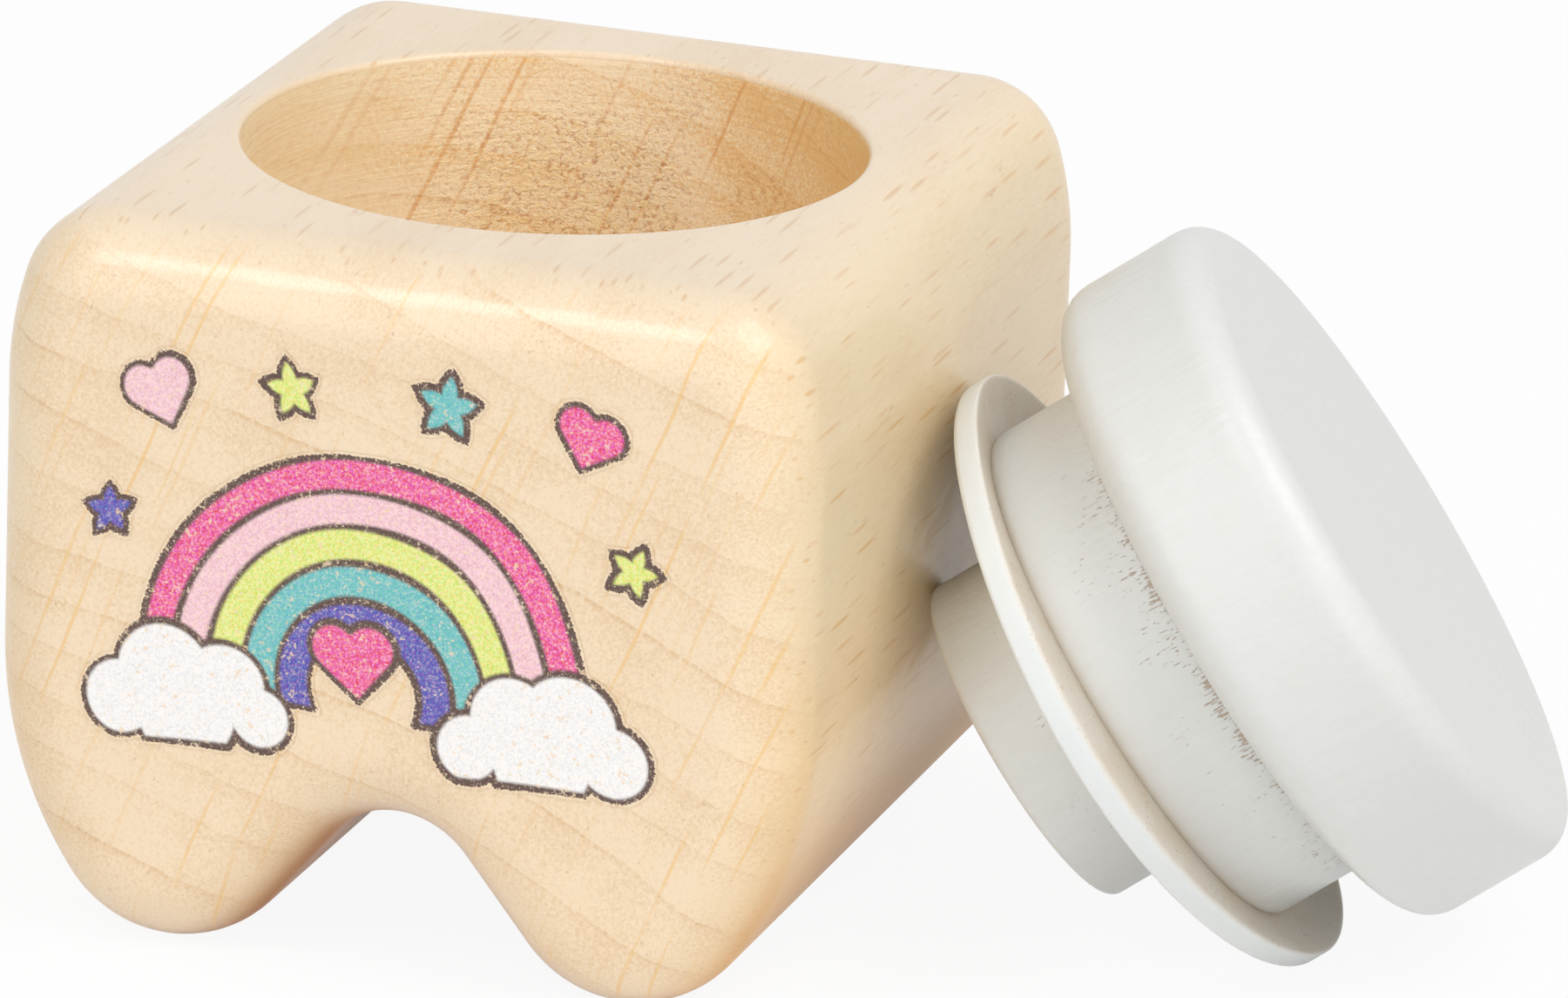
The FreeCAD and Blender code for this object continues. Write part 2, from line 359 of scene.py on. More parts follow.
def right_side(block, window_turn, step):
    """Points and normals of the right half of the tooth outline, from the middle of the arch to the top.

    Arcs that touch one another: hollow crown, straight flank, root, lower side, straight side, upper side
    and the top corner up to window_turn before its end."""
    side = block.width / 2
    root_level = math.sqrt(block.root_radius ** 2 - (block.root_flat / 2) ** 2)
    root = np.array([side - block.root_radius - block.root_lean, root_level])
    corner = np.array([top_flat(block), block.height - block.corner_radius])
    crown = np.array([0.0, block.arch_height - block.arch_radius])
    between = crown - root
    spread = math.acos((block.root_radius + block.arch_radius) / np.linalg.norm(between))
    flank = (math.atan2(between[1], between[0]) + spread) % math.tau
    lower, lower_radius, into_root = side_arc(root, block.root_radius, side, block.waist_height)
    upper_level = block.height - block.shoulder_drop
    upper, upper_radius, into_corner = side_arc(corner, block.corner_radius, side, upper_level)
    flank_ray = np.array([math.cos(flank), math.sin(flank)])
    stretches = [
        arc_points(crown, block.arch_radius, math.pi / 2, flank - math.pi, step, hollow=True),
        line_points(crown - block.arch_radius * flank_ray, root + block.root_radius * flank_ray, step),
        arc_points(root, block.root_radius, flank, math.tau + into_root, step),
        arc_points(lower, lower_radius, into_root, 0.0, step),
        line_points(np.array([side, block.waist_height]), np.array([side, upper_level]), step),
        arc_points(upper, upper_radius, 0.0, into_corner, step),
        arc_points(corner, block.corner_radius, into_corner, math.pi / 2 - window_turn, step),
    ]
    points = np.concatenate([points for points, normals in stretches])
    normals = np.concatenate([normals for points, normals in stretches])
    return points, normals


def top_flat(block):
    """Half width of the flat part of the top: where the top corners begin."""
    return block.width / 2 - block.corner_radius - block.shoulder_lean


def top_roll(block, across):
    """Angle by which the top has rolled over its corner arc, at a distance across it from the middle."""
    return np.maximum(np.abs(across) - top_flat(block), 0.0) / block.corner_radius


def top_points(block, across, along):
    """Points of the top at a distance across it, measured along its curve, and along the grain.

    With a the angle rolled over the corner arc of radius r, x = flat part + r sin a and
    z = height - r (1 - cos a)."""
    angle = top_roll(block, across)
    flat = np.minimum(np.abs(across), top_flat(block))
    x = np.sign(across) * (flat + block.corner_radius * np.sin(angle))
    z = block.height - block.corner_radius * (1 - np.cos(angle))
    return np.stack([x, np.broadcast_to(along, x.shape), z], axis=-1)


def tooth_loop(block, window_turn, step):
    """Closed outline of the tooth, against the clock: the top from right to left, then the rest.

    Gives points and outward normals in the XZ plane, and the places across the top of its first points."""
    reach = top_flat(block) + window_turn * block.corner_radius
    across = np.linspace(reach, -reach, 2 * math.ceil(reach / step) + 1)
    top = top_points(block, across, 0.0)[:, [0, 2]]
    angle = top_roll(block, across)
    top_normals = np.stack([np.sign(across) * np.sin(angle), np.cos(angle)], axis=-1)
    right, right_normals = right_side(block, window_turn, step)
    mirror = np.array([-1.0, 1.0])
    points = np.concatenate([top, (right * mirror)[:0:-1], right])
    normals = np.concatenate([top_normals, (right_normals * mirror)[:0:-1], right_normals])
    return points, normals, across


def block_shell(block):
    """Tooth block: the outline carried from front to back, faces at both ends and the bored chamber.

    On the rounded edges a point lies edge_round (1 - cos a) inside the outline and edge_round sin a past the
    straight part, with a up to a quarter turn. Nothing reaches below the standing flats."""
    window_turn = math.radians(20)
    step = 0.4 * MM
    edge_steps = 14
    face_steps = 26
    straight = block.depth / 2 - block.edge_round
    points, normals, across = tooth_loop(block, window_turn, step)

    bend = np.linspace(math.pi / 2, 0.0, edge_steps + 1)
    along = np.linspace(-straight, straight, 2 * math.ceil(straight / step / 2) + 1)
    curve = block.edge_round * (1 - np.cos(bend))
    inset = np.concatenate([curve, np.zeros(len(along) - 2), curve[::-1]])
    front = -straight - block.edge_round * np.sin(bend)
    depth = np.concatenate([front, along[1:-1], -front[::-1]])
    outline = points[None] - inset[:, None, None] * normals[None]
    spread = np.broadcast_to(depth[:, None], outline.shape[:2])
    walls = np.stack([outline[..., 0], spread, outline[..., 1]], axis=-1)
    walls[..., 2] = np.maximum(walls[..., 2], 0.0)

    shell = Shell()
    numbers = shell.add(walls)
    last = len(across) - 1
    first_row = edge_steps
    last_row = edge_steps + len(along) - 1
    shell.sheet(np.concatenate([numbers[:, last:], numbers[:, :1]], axis=1))
    shell.sheet(numbers[:first_row + 1, :last + 1])
    shell.sheet(numbers[last_row:, :last + 1])
    add_end_face(shell, walls[0][::-1], numbers[0][::-1], face_steps)
    add_end_face(shell, walls[-1], numbers[-1], face_steps)

    window = numbers[first_row:last_row + 1, :last + 1]
    loop = window_loop(window)
    loop_across = window_loop(np.broadcast_to(across, window.shape))
    loop_along = window_loop(np.broadcast_to(along[:, None], window.shape))
    add_chamber(shell, block, loop, loop_across, loop_along)
    return shell


def window_loop(grid):
    """The border of a grid as one loop: first row, last column, last row and first column."""
    return np.concatenate([grid[0, :-1], grid[:-1, -1], grid[-1, :0:-1], grid[:0:-1, 0]])


def add_end_face(shell, edge, edge_numbers, steps):
    """Flat end of the block: its edge drawn in evenly towards a pole that sees the whole outline."""
    pole_height = 22 * MM
    pole = np.array([0.0, edge[0, 1], pole_height])
    scale = np.linspace(1.0, 0.0, steps + 1)[1:-1, None, None]
    inner = shell.add(pole + scale * (edge - pole)[None])
    shell.sheet(np.concatenate([edge_numbers[None], inner]), closed=True)
    shell.fan(inner[-1], shell.add(pole))


def add_chamber(shell, block, loop, across, along):
    """Top face round the mouth, broken edge, wall and floor of the chamber.

    The top is drawn in evenly from its border to the mouth's circle. The edge is a quarter circle, the wall
    a cylinder, and the floor's corner another quarter circle."""
    raw = 1
    top_steps = 12
    edge_steps = 5
    wall_steps = 52
    floor_steps = 24
    wide = block.bore_radius + block.mouth_round
    angle = np.arctan2(along, across)
    ring = np.stack([np.cos(angle), np.sin(angle)], axis=-1)
    border = np.stack([across, along], axis=-1)
    drawn_in = np.linspace(0.0, 1.0, top_steps + 1)[1:, None, None]
    flat = border[None] * (1 - drawn_in) + wide * ring[None] * drawn_in
    top = top_points(block, flat[..., 0], flat[..., 1])
    numbers = shell.add(top)
    shell.sheet(np.concatenate([loop[None], numbers]), closed=True)

    brim = top[-1, :, 2]
    bend = np.linspace(0.0, math.pi / 2, edge_steps + 1)[1:, None]
    edge_radius = wide - block.mouth_round * np.sin(bend)
    edge_level = brim[None] - block.mouth_round * (1 - np.cos(bend))
    edge = shell.add(turned_points(ring, edge_radius, edge_level))
    shell.sheet(np.concatenate([numbers[-1:], edge]), closed=True)

    floor = block.height - block.bore_depth
    low = floor + block.floor_round
    fall = np.linspace(0.0, 1.0, wall_steps + 1)[1:, None]
    wall_level = edge_level[-1:] * (1 - fall) + low * fall
    wall = shell.add(turned_points(ring, np.full_like(fall, block.bore_radius), wall_level))
    shell.sheet(np.concatenate([edge[-1:], wall]), closed=True, finish=raw)

    corner_radius = block.bore_radius - block.floor_round * (1 - np.cos(bend))
    corner_level = low - block.floor_round * np.sin(bend)
    corner = shell.add(turned_points(ring, corner_radius, corner_level))
    shell.sheet(np.concatenate([wall[-1:], corner]), closed=True, finish=raw)

    shrink = np.linspace(1.0, 0.0, floor_steps + 1)[1:-1, None]
    disc = shell.add(turned_points(ring, corner_radius[-1] * shrink, np.full_like(shrink, floor)))
    shell.sheet(np.concatenate([corner[-1:], disc]), closed=True, finish=raw)
    shell.fan(disc[-1], shell.add(np.array([0.0, 0.0, floor])), finish=raw)


def circle_of(count):
    """Unit directions (cos a, sin a) spaced evenly all round."""
    angle = math.tau * np.arange(count) / count
    return np.stack([np.cos(angle), np.sin(angle)], axis=-1)


def turned_points(ring, radius, level):
    """Points (radius cos a, radius sin a, level) for unit directions and rows of radii and levels."""
    flat = radius[..., None] * ring[None]
    return np.concatenate([flat, np.broadcast_to(level[..., None], flat.shape[:2] + (1,))], axis=-1)


def rounded_profile(corners, step):
    """Profile through corners of (radius, level, rounding): even steps, and an arc at each inner corner.

    The arc touches both edges: with h half the corner's angle it starts rounding / tan h before the corner,
    and its centre lies rounding / sin h away along the bisector."""
    arc_steps = 8
    places = np.array([corner[:2] for corner in corners])
    stretches = []
    start = places[0]
    for before, place, after, corner in zip(places, places[1:], places[2:], corners[1:]):
        rounding = corner[2]
        back = (before - place) / np.linalg.norm(before - place)
        ahead = (after - place) / np.linalg.norm(after - place)
        half = math.acos(np.clip(back @ ahead, -1.0, 1.0)) / 2
        bisector = (back + ahead) / np.linalg.norm(back + ahead)
        centre = place + bisector * rounding / math.sin(half)
        arc_start = place + back * rounding / math.tan(half)
        arc_end = place + ahead * rounding / math.tan(half)
        first = math.atan2(*(arc_start - centre)[::-1])
        sweep = (math.atan2(*(arc_end - centre)[::-1]) - first + math.pi) % math.tau - math.pi
        stretches.append(line_points(start, arc_start, step)[0])
        angle = first + sweep * np.arange(arc_steps) / arc_steps
        stretches.append(centre + rounding * np.stack([np.cos(angle), np.sin(angle)], axis=-1))
        start = arc_end
    stretches.append(line_points(start, places[-1], step)[0])
    stretches.append(places[-1:])
    return np.concatenate(stretches)


def lid_place(stopper):
    """Turn and origin of the lid: 3 x 3 matrix and the point under the middle of the cap.

    The axis is leant over and turned to the side. Along a world axis whose cosine with the lid's axis is c,
    the cap's upper edge reaches (R - r) sqrt(1 - c c) + r + (t - r) c past that point, for cap radius R,
    rounding r and thickness t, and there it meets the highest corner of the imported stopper's box."""
    lean = math.pi / 2 - stopper.tilt
    leant = np.array(Matrix.Rotation(lean, 3, "Y"))
    turned = np.array(Matrix.Rotation(stopper.yaw, 3, "Z")) @ leant
    cosine = turned[:, 2]
    edge = stopper.cap_top_round
    reach = (stopper.cap_radius - edge) * np.sqrt(1 - cosine ** 2) + edge
    reach = reach + (stopper.cap_thickness - edge) * cosine
    return turned, np.array(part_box("lid_stopper")[1]) - reach


def laid(points, stopper):
    """Points of the lid's own frame, with Z along its axis, moved to where the lid lies."""
    turned, origin = lid_place(stopper)
    return points @ turned.T + origin


def stopper_shell(stopper):
    """Turned stopper: the profile of cap, plug, neck and foot carried round its axis.

    The value skip says how near a point is to a hollow corner where lacquer is missed: it is
    exp(-distance / reach) along the plug below the cap and along the foot below the ring. The value worn
    does so at the plug's end, where it meets the ring: rubbed lacquer there, and painted shade in the crease."""
    step = 0.5 * MM
    around = 288
    skip_reach = 1.1 * MM
    worn_reach = 0.5 * MM
    foot_skip = 0.55
    most_worn = 0.45
    plug_end = -stopper.plug_length - stopper.plug_sink
    foot_top = -stopper.plug_length - stopper.neck_length
    foot_end = foot_top - stopper.foot_length
    fill = stopper.corner_fill
    corners = [
        (0.0, stopper.cap_thickness, 0.0),
        (stopper.cap_radius, stopper.cap_thickness, stopper.cap_top_round),
        (stopper.cap_radius, 0.0, stopper.cap_under_round),
        (stopper.plug_radius, 0.0, fill),
        (stopper.plug_radius, plug_end, stopper.plug_round),
        (stopper.neck_radius, plug_end, fill),
        (stopper.neck_radius, foot_top, fill),
        (stopper.foot_radius, foot_top, stopper.foot_round),
        (stopper.foot_radius, foot_end, stopper.foot_round),
        (0.0, foot_end, 0.0),
    ]
    profile = rounded_profile(corners, step)
    ring = circle_of(around)
    rows = profile[1:-1]
    shell = Shell()
    numbers = shell.add(laid(turned_points(ring, rows[:, :1], rows[:, 1:]), stopper))
    shell.sheet(numbers, closed=True)
    poles = np.array([[0.0, 0.0, profile[0, 1]], [0.0, 0.0, profile[-1, 1]]])
    top, bottom = shell.add(laid(poles, stopper))
    shell.fan(numbers[0][::-1], top)
    shell.fan(numbers[-1], bottom)

    level = rows[:, 1]
    on_plug = (level < 0) * (level > foot_top)
    plug = np.exp(level / skip_reach) * on_plug
    foot = foot_skip * np.exp((level - foot_top) / skip_reach) * (level < foot_top)
    # Rubbed lacquer and painted shade at the plug's end, in the crease against the ring.
    worn = most_worn * np.exp(-np.maximum(level + stopper.plug_length, 0.0) / worn_reach) * on_plug
    for name, values in (("skip", plug + foot), ("worn", worn)):
        spread = np.broadcast_to(values[:, None], numbers.shape).ravel()
        shell.values[name] = np.concatenate([spread, [0.0, 0.0]])
    return shell


def lip_rise(ring, x, y):
    """Lift of the ring beside the lid's axis: none under the plug, then with the square of the distance.

    At the rim, with c and s the cosine and sine of the angle from the floor's side to the back, the lift is
    (floor + block) / 2 c^2 + (floor - block) / 2 c + (back + front) / 2 s^2 + (back - front) / 2 s."""
    radius = np.hypot(x, y)
    along = x / radius
    across = y / radius
    rim = (ring.lip_floor + ring.lip_block) / 2 * along ** 2 + (ring.lip_floor - ring.lip_block) / 2 * along
    rim = rim + (ring.lip_back + ring.lip_front) / 2 * across ** 2
    rim = rim + (ring.lip_back - ring.lip_front) / 2 * across
    reach = np.maximum(radius - ring.flat_radius, 0.0) / (ring.radius - ring.flat_radius)
    return rim * reach ** 2


def ring_shell(ring, stopper):
    """Sealing ring: a rounded rectangle carried round the neck, with its lip bent.

    Every point is lifted by lip_rise at its place. The value dust is 1 on the upper face by the plug, less
    at the rim and 0 on the other sides."""
    step = 0.45 * MM
    around = 256
    dust_lost = 0.2
    edge = ring.edge_round
    middle = (ring.hole_radius + ring.radius) / 2
    corners = [
        (middle, 0.0, 0.0),
        (ring.radius, 0.0, edge),
        (ring.radius, -ring.thickness, edge),
        (ring.hole_radius, -ring.thickness, edge),
        (ring.hole_radius, 0.0, edge),
        (middle, 0.0, 0.0),
    ]
    section = rounded_profile(corners, step)[:-1]
    flat = turned_points(circle_of(around), section[:, :1], section[:, 1:])
    flat[..., 2] += lip_rise(ring, flat[..., 0], flat[..., 1]) - ring.level
    shell = Shell()
    numbers = shell.add(laid(flat, stopper))
    shell.sheet(np.concatenate([numbers, numbers[:1]]), closed=True)
    upper = np.clip(1 + section[:, 1] / edge, 0.0, 1.0)
    outward = np.clip((section[:, 0] - stopper.plug_radius) / (ring.radius - stopper.plug_radius), 0.0, 1.0)
    dust = upper * (1.0 - dust_lost * outward)
    shell.values["dust"] = np.broadcast_to(dust[:, None], numbers.shape).ravel()
    return shell


# Print

def heart_distance(x, z, size):
    """Signed distance to a heart of about that width, with its point downwards at (0, 0).

    Two half rounds above and two straight sides below, in the unit form whose point is at the origin."""
    across = np.abs(x) / size
    up = z / size
    round_part = np.hypot(across - 0.25, up - 0.75) - math.sqrt(2) / 4
    slide = np.maximum(across + up, 0.0) / 2
    side = np.hypot(across - slide, up - slide)
    top = np.hypot(across, up - 1.0)
    straight = np.minimum(top, side) * np.sign(across - up)
    return size * np.where(across + up > 1.0, round_part, straight)


def star_distance(x, z, size):
    """Signed distance to a rounded five-pointed star: a corner wave on the angle shapes its radius.

    The distance along the radius is shortened to about that across the slanting rim."""
    points = 5
    notch = 0.47
    bulge = 0.85
    slant = 0.75
    angle = np.arctan2(x, z)
    wave = np.abs((angle * points / math.tau + 0.5) % 1.0 - 0.5) * 2
    rim = size * (1.0 - notch * wave ** bulge)
    return (np.hypot(x, z) - rim) * slant


def cloud_distance(x, z, puffs, floor):
    """Signed distance to a cloud: round puffs (x, z, radius) over a soft flat floor."""
    far = 1.0
    distance = np.full_like(x, far)
    for across, up, radius in puffs:
        distance = np.minimum(distance, np.hypot(x - across * MM, z - up * MM) - radius * MM)
    return np.maximum(distance, floor * MM - z)


class Drawing:
    """Inks laid one over another on a grid: ink is the colour, and cover the share of wood that it hides."""

    def __init__(self, x, z, line_width, outline):
        self.blur = 0.07 * MM
        swell = 0.1
        self.ink = np.ones(x.shape + (3,)) * np.array(outline)
        self.cover = np.zeros_like(x)
        self.outline = np.array(outline)
        wave = np.sin(x / (2.1 * MM) + 1.7 * np.sin(z / (2.9 * MM)))
        self.half_line = line_width * (0.5 + swell * wave)

    def lay(self, amount, colour):
        """Mixes a colour in by an amount from 0 to 1."""
        self.ink += amount[..., None] * (np.array(colour) - self.ink)
        self.cover = np.maximum(self.cover, amount)

    def fill(self, distance, colour):
        """Colours the inside of a signed distance."""
        self.lay(np.clip(0.5 - distance / self.blur / 2, 0.0, 1.0), colour)

    def stroke(self, distance, within=None):
        """Draws a line where a signed distance is nought, where within is below nought."""
        amount = np.clip(0.5 - (np.abs(distance) - self.half_line) / self.blur / 2, 0.0, 1.0)
        if within is not None:
            amount = amount * np.clip(0.5 - within / self.blur / 2, 0.0, 1.0)
        self.lay(amount, self.outline)

    def shape(self, distance, colour):
        """Fills a shape and draws its outline."""
        self.fill(distance, colour)
        self.stroke(distance)


def draw_print(front, x, z):
    """Rainbow on two clouds with hearts and stars, drawn about the foot of the rainbow at (0, 0).

    Each shape is a signed distance on a grid that is pushed about a little, as by hand."""
    wander = front.wobble
    across = x + wander * (np.sin(z / (2.6 * MM)) + 0.6 * np.sin(x / (1.7 * MM) + 2.0))
    up = z + wander * (np.sin(x / (3.1 * MM) + 1.0) + 0.6 * np.sin(z / (1.9 * MM)))
    drawing = Drawing(x, z, front.line_width, front.outline)

    outer = 13.2 * MM
    band = 2.0 * MM
    dip = 1.5 * MM
    rise = 0.02
    radius = np.hypot(across * (1 + rise), up * (1 - rise))
    below = -up - dip
    bands = (front.rose, front.blush, front.lime, front.teal, front.violet)
    for number, colour in enumerate(bands):
        middle = outer - band * (number + 0.5)
        drawing.fill(np.maximum(np.abs(radius - middle) - band / 2, below), colour)
    for number in range(len(bands) + 1):
        drawing.stroke(radius - (outer - band * number), within=below)

    half_width = band * len(bands) / 2
    rainbow = np.abs(radius - outer + half_width) - half_width
    drawing.stroke(below, within=rainbow)

    left_puffs = ((-14.2, -2.2, 2.3), (-11.6, -0.4, 2.9), (-8.2, -0.9, 2.5), (-6.2, -2.6, 1.9),
                  (-10.4, -2.8, 3.0))
    right_puffs = ((6.0, -2.4, 2.1), (8.6, -0.6, 2.7), (11.9, -0.2, 2.8), (14.3, -2.2, 2.2),
                   (10.2, -2.8, 3.0))
    for puffs, floor in ((left_puffs, -4.6), (right_puffs, -4.4)):
        drawing.shape(cloud_distance(across, up, puffs, floor), front.white)

    hearts = ((-0.2, -0.6, 4.2, 0.10, front.rose), (-11.4, 13.6, 3.6, 0.35, front.blush),
              (12.0, 14.2, 3.2, -0.3, front.rose))
    stars = ((-4.6, 16.6, 1.75, 0.2, front.lime), (4.4, 17.0, 2.0, -0.15, front.teal),
             (-15.0, 8.4, 1.6, 0.1, front.violet), (15.2, 8.8, 1.7, -0.3, front.lime))
    for place_x, place_z, size, lean, colour in hearts:
        drawing.shape(heart_distance(*leant(across, up, place_x, place_z, lean), size * MM), colour)
    for place_x, place_z, size, lean, colour in stars:
        drawing.shape(star_distance(*leant(across, up, place_x, place_z, lean), size * MM), colour)
    return drawing


def leant(x, z, place_x, place_z, lean):
    """Coordinates about a place given in millimetres, turned by an angle."""
    across = x - place_x * MM
    up = z - place_z * MM
    return across * math.cos(lean) + up * math.sin(lean), up * math.cos(lean) - across * math.sin(lean)


def print_shell(front, block):
    """Printed film on the front face: a flat grid in X and Z without the cells that hold no ink."""
    half_width = 18.0 * MM
    low = -6.4 * MM
    high = 20.0 * MM
    columns = np.arange(-half_width, half_width, front.spacing)
    rows = np.arange(low, high, front.spacing)
    x, z = np.meshgrid(columns, rows)
    drawing = draw_print(front, x, z)
    outside = -block.depth / 2 - front.film
    points = np.stack([x + front.centre_x, np.full_like(x, outside), z + front.centre_z], axis=-1)
    shell = Shell()
    numbers = shell.add(points)
    inked = drawing.cover > 0.0
    cells = inked[:-1, :-1] | inked[1:, :-1] | inked[1:, 1:] | inked[:-1, 1:]
    shell.sheet(numbers[:, ::-1])
    shell.quads[0] = shell.quads[0][cells[:, ::-1].ravel()]
    shell.quad_finish[0] = np.zeros(len(shell.quads[0]), int)
    opaque = np.ones(x.shape + (1,))
    shell.values["ink"] = np.concatenate([drawing.ink, opaque], axis=-1).reshape(-1, 4)
    shell.values["cover"] = drawing.cover.ravel()
    return shell


# Finishes

class Nodes:
    """A node tree under construction. Each method adds nodes, fills their sockets and gives back outputs."""

    def __init__(self, tree):
        self.tree = tree
        tree.nodes.clear()

    def add(self, kind, sockets=None, output=0, **settings):
        made = self.tree.nodes.new(kind)
        for key, value in settings.items():
            setattr(made, key, value)
        for key, value in (sockets or {}).items():
            self.fill(made.inputs[key], value)
        return made.outputs[output]

    def fill(self, socket, value):
        """Links an output to a socket, or sets its value; a colour gets its alpha."""
        if isinstance(value, bpy.types.NodeSocket):
            self.tree.links.new(value, socket)
        elif socket.type == "RGBA":
            socket.default_value = (*value[:3], 1.0)
        else:
            socket.default_value = value

    def mapped(self, size, turned=(0.0, 0.0, 0.0), place=(0.0, 0.0, 0.0)):
        """Object coordinates about a place, turned, and counted in cells of a size in millimetres."""
        scale = tuple(side * MM for side in size)
        coordinates = self.add("ShaderNodeTexCoord", output="Object")
        sockets = {"Vector": coordinates, "Location": place, "Rotation": turned, "Scale": scale}
        return self.add("ShaderNodeMapping", sockets, vector_type="TEXTURE")

    def axes(self, vector):
        """Parts of a vector along X, Y and Z."""
        return self.add("ShaderNodeSeparateXYZ", {"Vector": vector}).node.outputs

    def place(self):
        """Parts of the place in millimetres."""
        return self.axes(self.mapped((1, 1, 1)))

    def normal(self):
        """Parts of the direction that a surface faces."""
        return self.axes(self.add("ShaderNodeNewGeometry", output="Normal"))

    def attribute(self, name, output="Fac"):
        """Value that the points of a piece carry."""
        return self.add("ShaderNodeAttribute", output=output, attribute_name=name)

    def noise(self, size, detail=2.0, roughness=0.5, distortion=0.0, **laid_out):
        """Noise in cells of a size in millimetres, laid out by a turn and a place."""
        sockets = {"Vector": self.mapped(size, **laid_out), "Scale": 1.0, "Detail": detail,
                   "Roughness": roughness, "Distortion": distortion}
        return self.add("ShaderNodeTexNoise", sockets)

    def cells(self, place, dimensions="3D"):
        """Cells about scattered points: distance to the nearest one, and each cell's chance from 0 to 1."""
        socket = "W" if dimensions == "1D" else "Vector"
        sockets = {socket: place, "Scale": 1.0}
        made = self.add("ShaderNodeTexVoronoi", sockets, voronoi_dimensions=dimensions).node
        chance = self.add("ShaderNodeSeparateColor", {"Color": made.outputs["Color"]}, output="Red")
        return made.outputs["Distance"], chance

    def math(self, operation, first, *others):
        """One operation carried through outputs and numbers, from the first to the last."""
        for other in others or (0.0,):
            first = self.add("ShaderNodeMath", {0: first, 1: other}, operation=operation)
        return first

    def times(self, *factors):
        return self.math("MULTIPLY", *factors)

    def plus(self, *terms):
        return self.math("ADD", *terms)

    def ramp(self, value, low, high, low_result=0.0, high_result=1.0):
        """Smooth step from low to high, giving results from low_result to high_result."""
        sockets = {"Value": value, "From Min": low, "From Max": high, "To Min": low_result,
                   "To Max": high_result}
        return self.add("ShaderNodeMapRange", sockets, interpolation_type="SMOOTHSTEP")

    def mix(self, amount, first, second, blend="MIX"):
        """Colour from first to second by an amount; the numbers are those of the colour sockets."""
        sockets = {0: amount, 6: first, 7: second}
        return self.add("ShaderNodeMix", sockets, output=2, data_type="RGBA", blend_type=blend)

    def bump(self, height, distance):
        """Normal raised by a height from 0 to 1, times a distance in millimetres."""
        return self.add("ShaderNodeBump", {"Height": height, "Distance": distance * MM, "Strength": 1.0})

    def surface(self, shader, kind="ShaderNodeOutputMaterial"):
        """Ends the tree with a shader."""
        self.fill(self.tree.nodes.new(kind).inputs["Surface"], shader)

    def principled(self, sockets):
        """Ends the tree with a principled shader that has these sockets."""
        self.surface(self.add("ShaderNodeBsdfPrincipled", sockets))


def new_material(name):
    """New material and its empty node tree."""
    material = bpy.data.materials.new(name)
    material.use_nodes = True
    return material, Nodes(material.node_tree)


def ring_slope(beech):
    """Turn that lays a pattern along the growth rings."""
    return (0.0, beech.ring_turn, 0.0)


def cut_of_grain(nodes):
    """How far a surface faces along the grain, to the sides and up or down: its normal's parts, squared."""
    normal = nodes.normal()
    return [nodes.times(normal[axis], normal[axis]) for axis in "YXZ"]


def underside(nodes, place):
    """How far a surface looks down, short of the rounded front and back edges: the mask of the painted shade
    below, which also thins the coat.
    """
    along = nodes.math("ABSOLUTE", place["Y"])
    return nodes.times(nodes.ramp(nodes.normal()["Z"], -0.05, -0.55), nodes.ramp(along, 25.5, 22.5))


def growth_rings(nodes, beech):
    """Growth rings as cylinders about a far pith: gives how far each has darkened, and the line at its edge.

    The distance from the pith, counted in rings, is warped by slow noise. Its whole part is the year, and
    its rest grows across the ring up to a line, which breaks up into fibres and fades along the ring."""
    endless = 1e6
    drift_rings = 1.6
    ripple_rings = 0.14
    slope = ring_slope(beech)
    spacing = beech.ring_spacing / MM
    pith_x = -math.sin(beech.ring_turn) * beech.pith_distance
    pith_z = -math.cos(beech.ring_turn) * beech.pith_distance
    across_rings = nodes.mapped((spacing, endless, spacing), place=(pith_x, 0.0, pith_z))
    radius = nodes.add("ShaderNodeVectorMath", {0: across_rings}, output="Value", operation="LENGTH")
    drift = nodes.noise((32, 150, 10), detail=1.0, turned=slope)
    ripple = nodes.noise((1.5, 18, 1.5), detail=3.0, turned=slope)
    ring = nodes.plus(radius, nodes.times(drift, drift_rings), nodes.times(ripple, ripple_rings))
    phase = nodes.math("FRACT", ring)
    year = nodes.add("ShaderNodeTexWhiteNoise", {"W": nodes.math("FLOOR", ring)}, noise_dimensions="1D")
    fibre = nodes.noise((0.20, 2.2, 1.0), turned=slope)
    along_ring = nodes.noise((8, 40, 5), detail=1.0, turned=slope)
    line = nodes.times(nodes.ramp(phase, 0.88, 0.98), nodes.ramp(phase, 1.0, 0.985),
                       nodes.ramp(fibre, 0.28, 0.62), nodes.ramp(along_ring, 0.25, 0.6, 0.2, 1.0),
                       nodes.ramp(year, 0.0, 1.0, 0.25, 1.0))
    return nodes.ramp(phase, 0.25, 1.0), line


def wood_rays(nodes, beech, reach):
    """Wood rays: gives lines across the rings, for end grain, and dashes along the grain, for other faces.

    Lines are the middles of cells along one direction, broken by noise that reaches that many millimetres up
    the rings, and dashes the cores of stretched cells. Each cell shows by its chance."""
    slope = ring_slope(beech)
    across = nodes.axes(nodes.mapped((0.8, 1, 1), slope))["X"]
    sway = nodes.noise((9, 30, 9), detail=1.0)
    broken = nodes.noise((0.9, 30, reach), detail=1.0, turned=slope)
    core, chance = nodes.cells(nodes.plus(across, sway), "1D")
    line = nodes.times(nodes.ramp(core, 0.21, 0.06), nodes.ramp(chance, 0.25, 1.0),
                       nodes.ramp(broken, 0.42, 0.6))
    core, chance = nodes.cells(nodes.mapped((0.55, 6.5, 0.55), slope))
    dash = nodes.times(nodes.ramp(core, 0.34, 0.16), nodes.ramp(chance, 0.25, 0.9))
    return line, dash


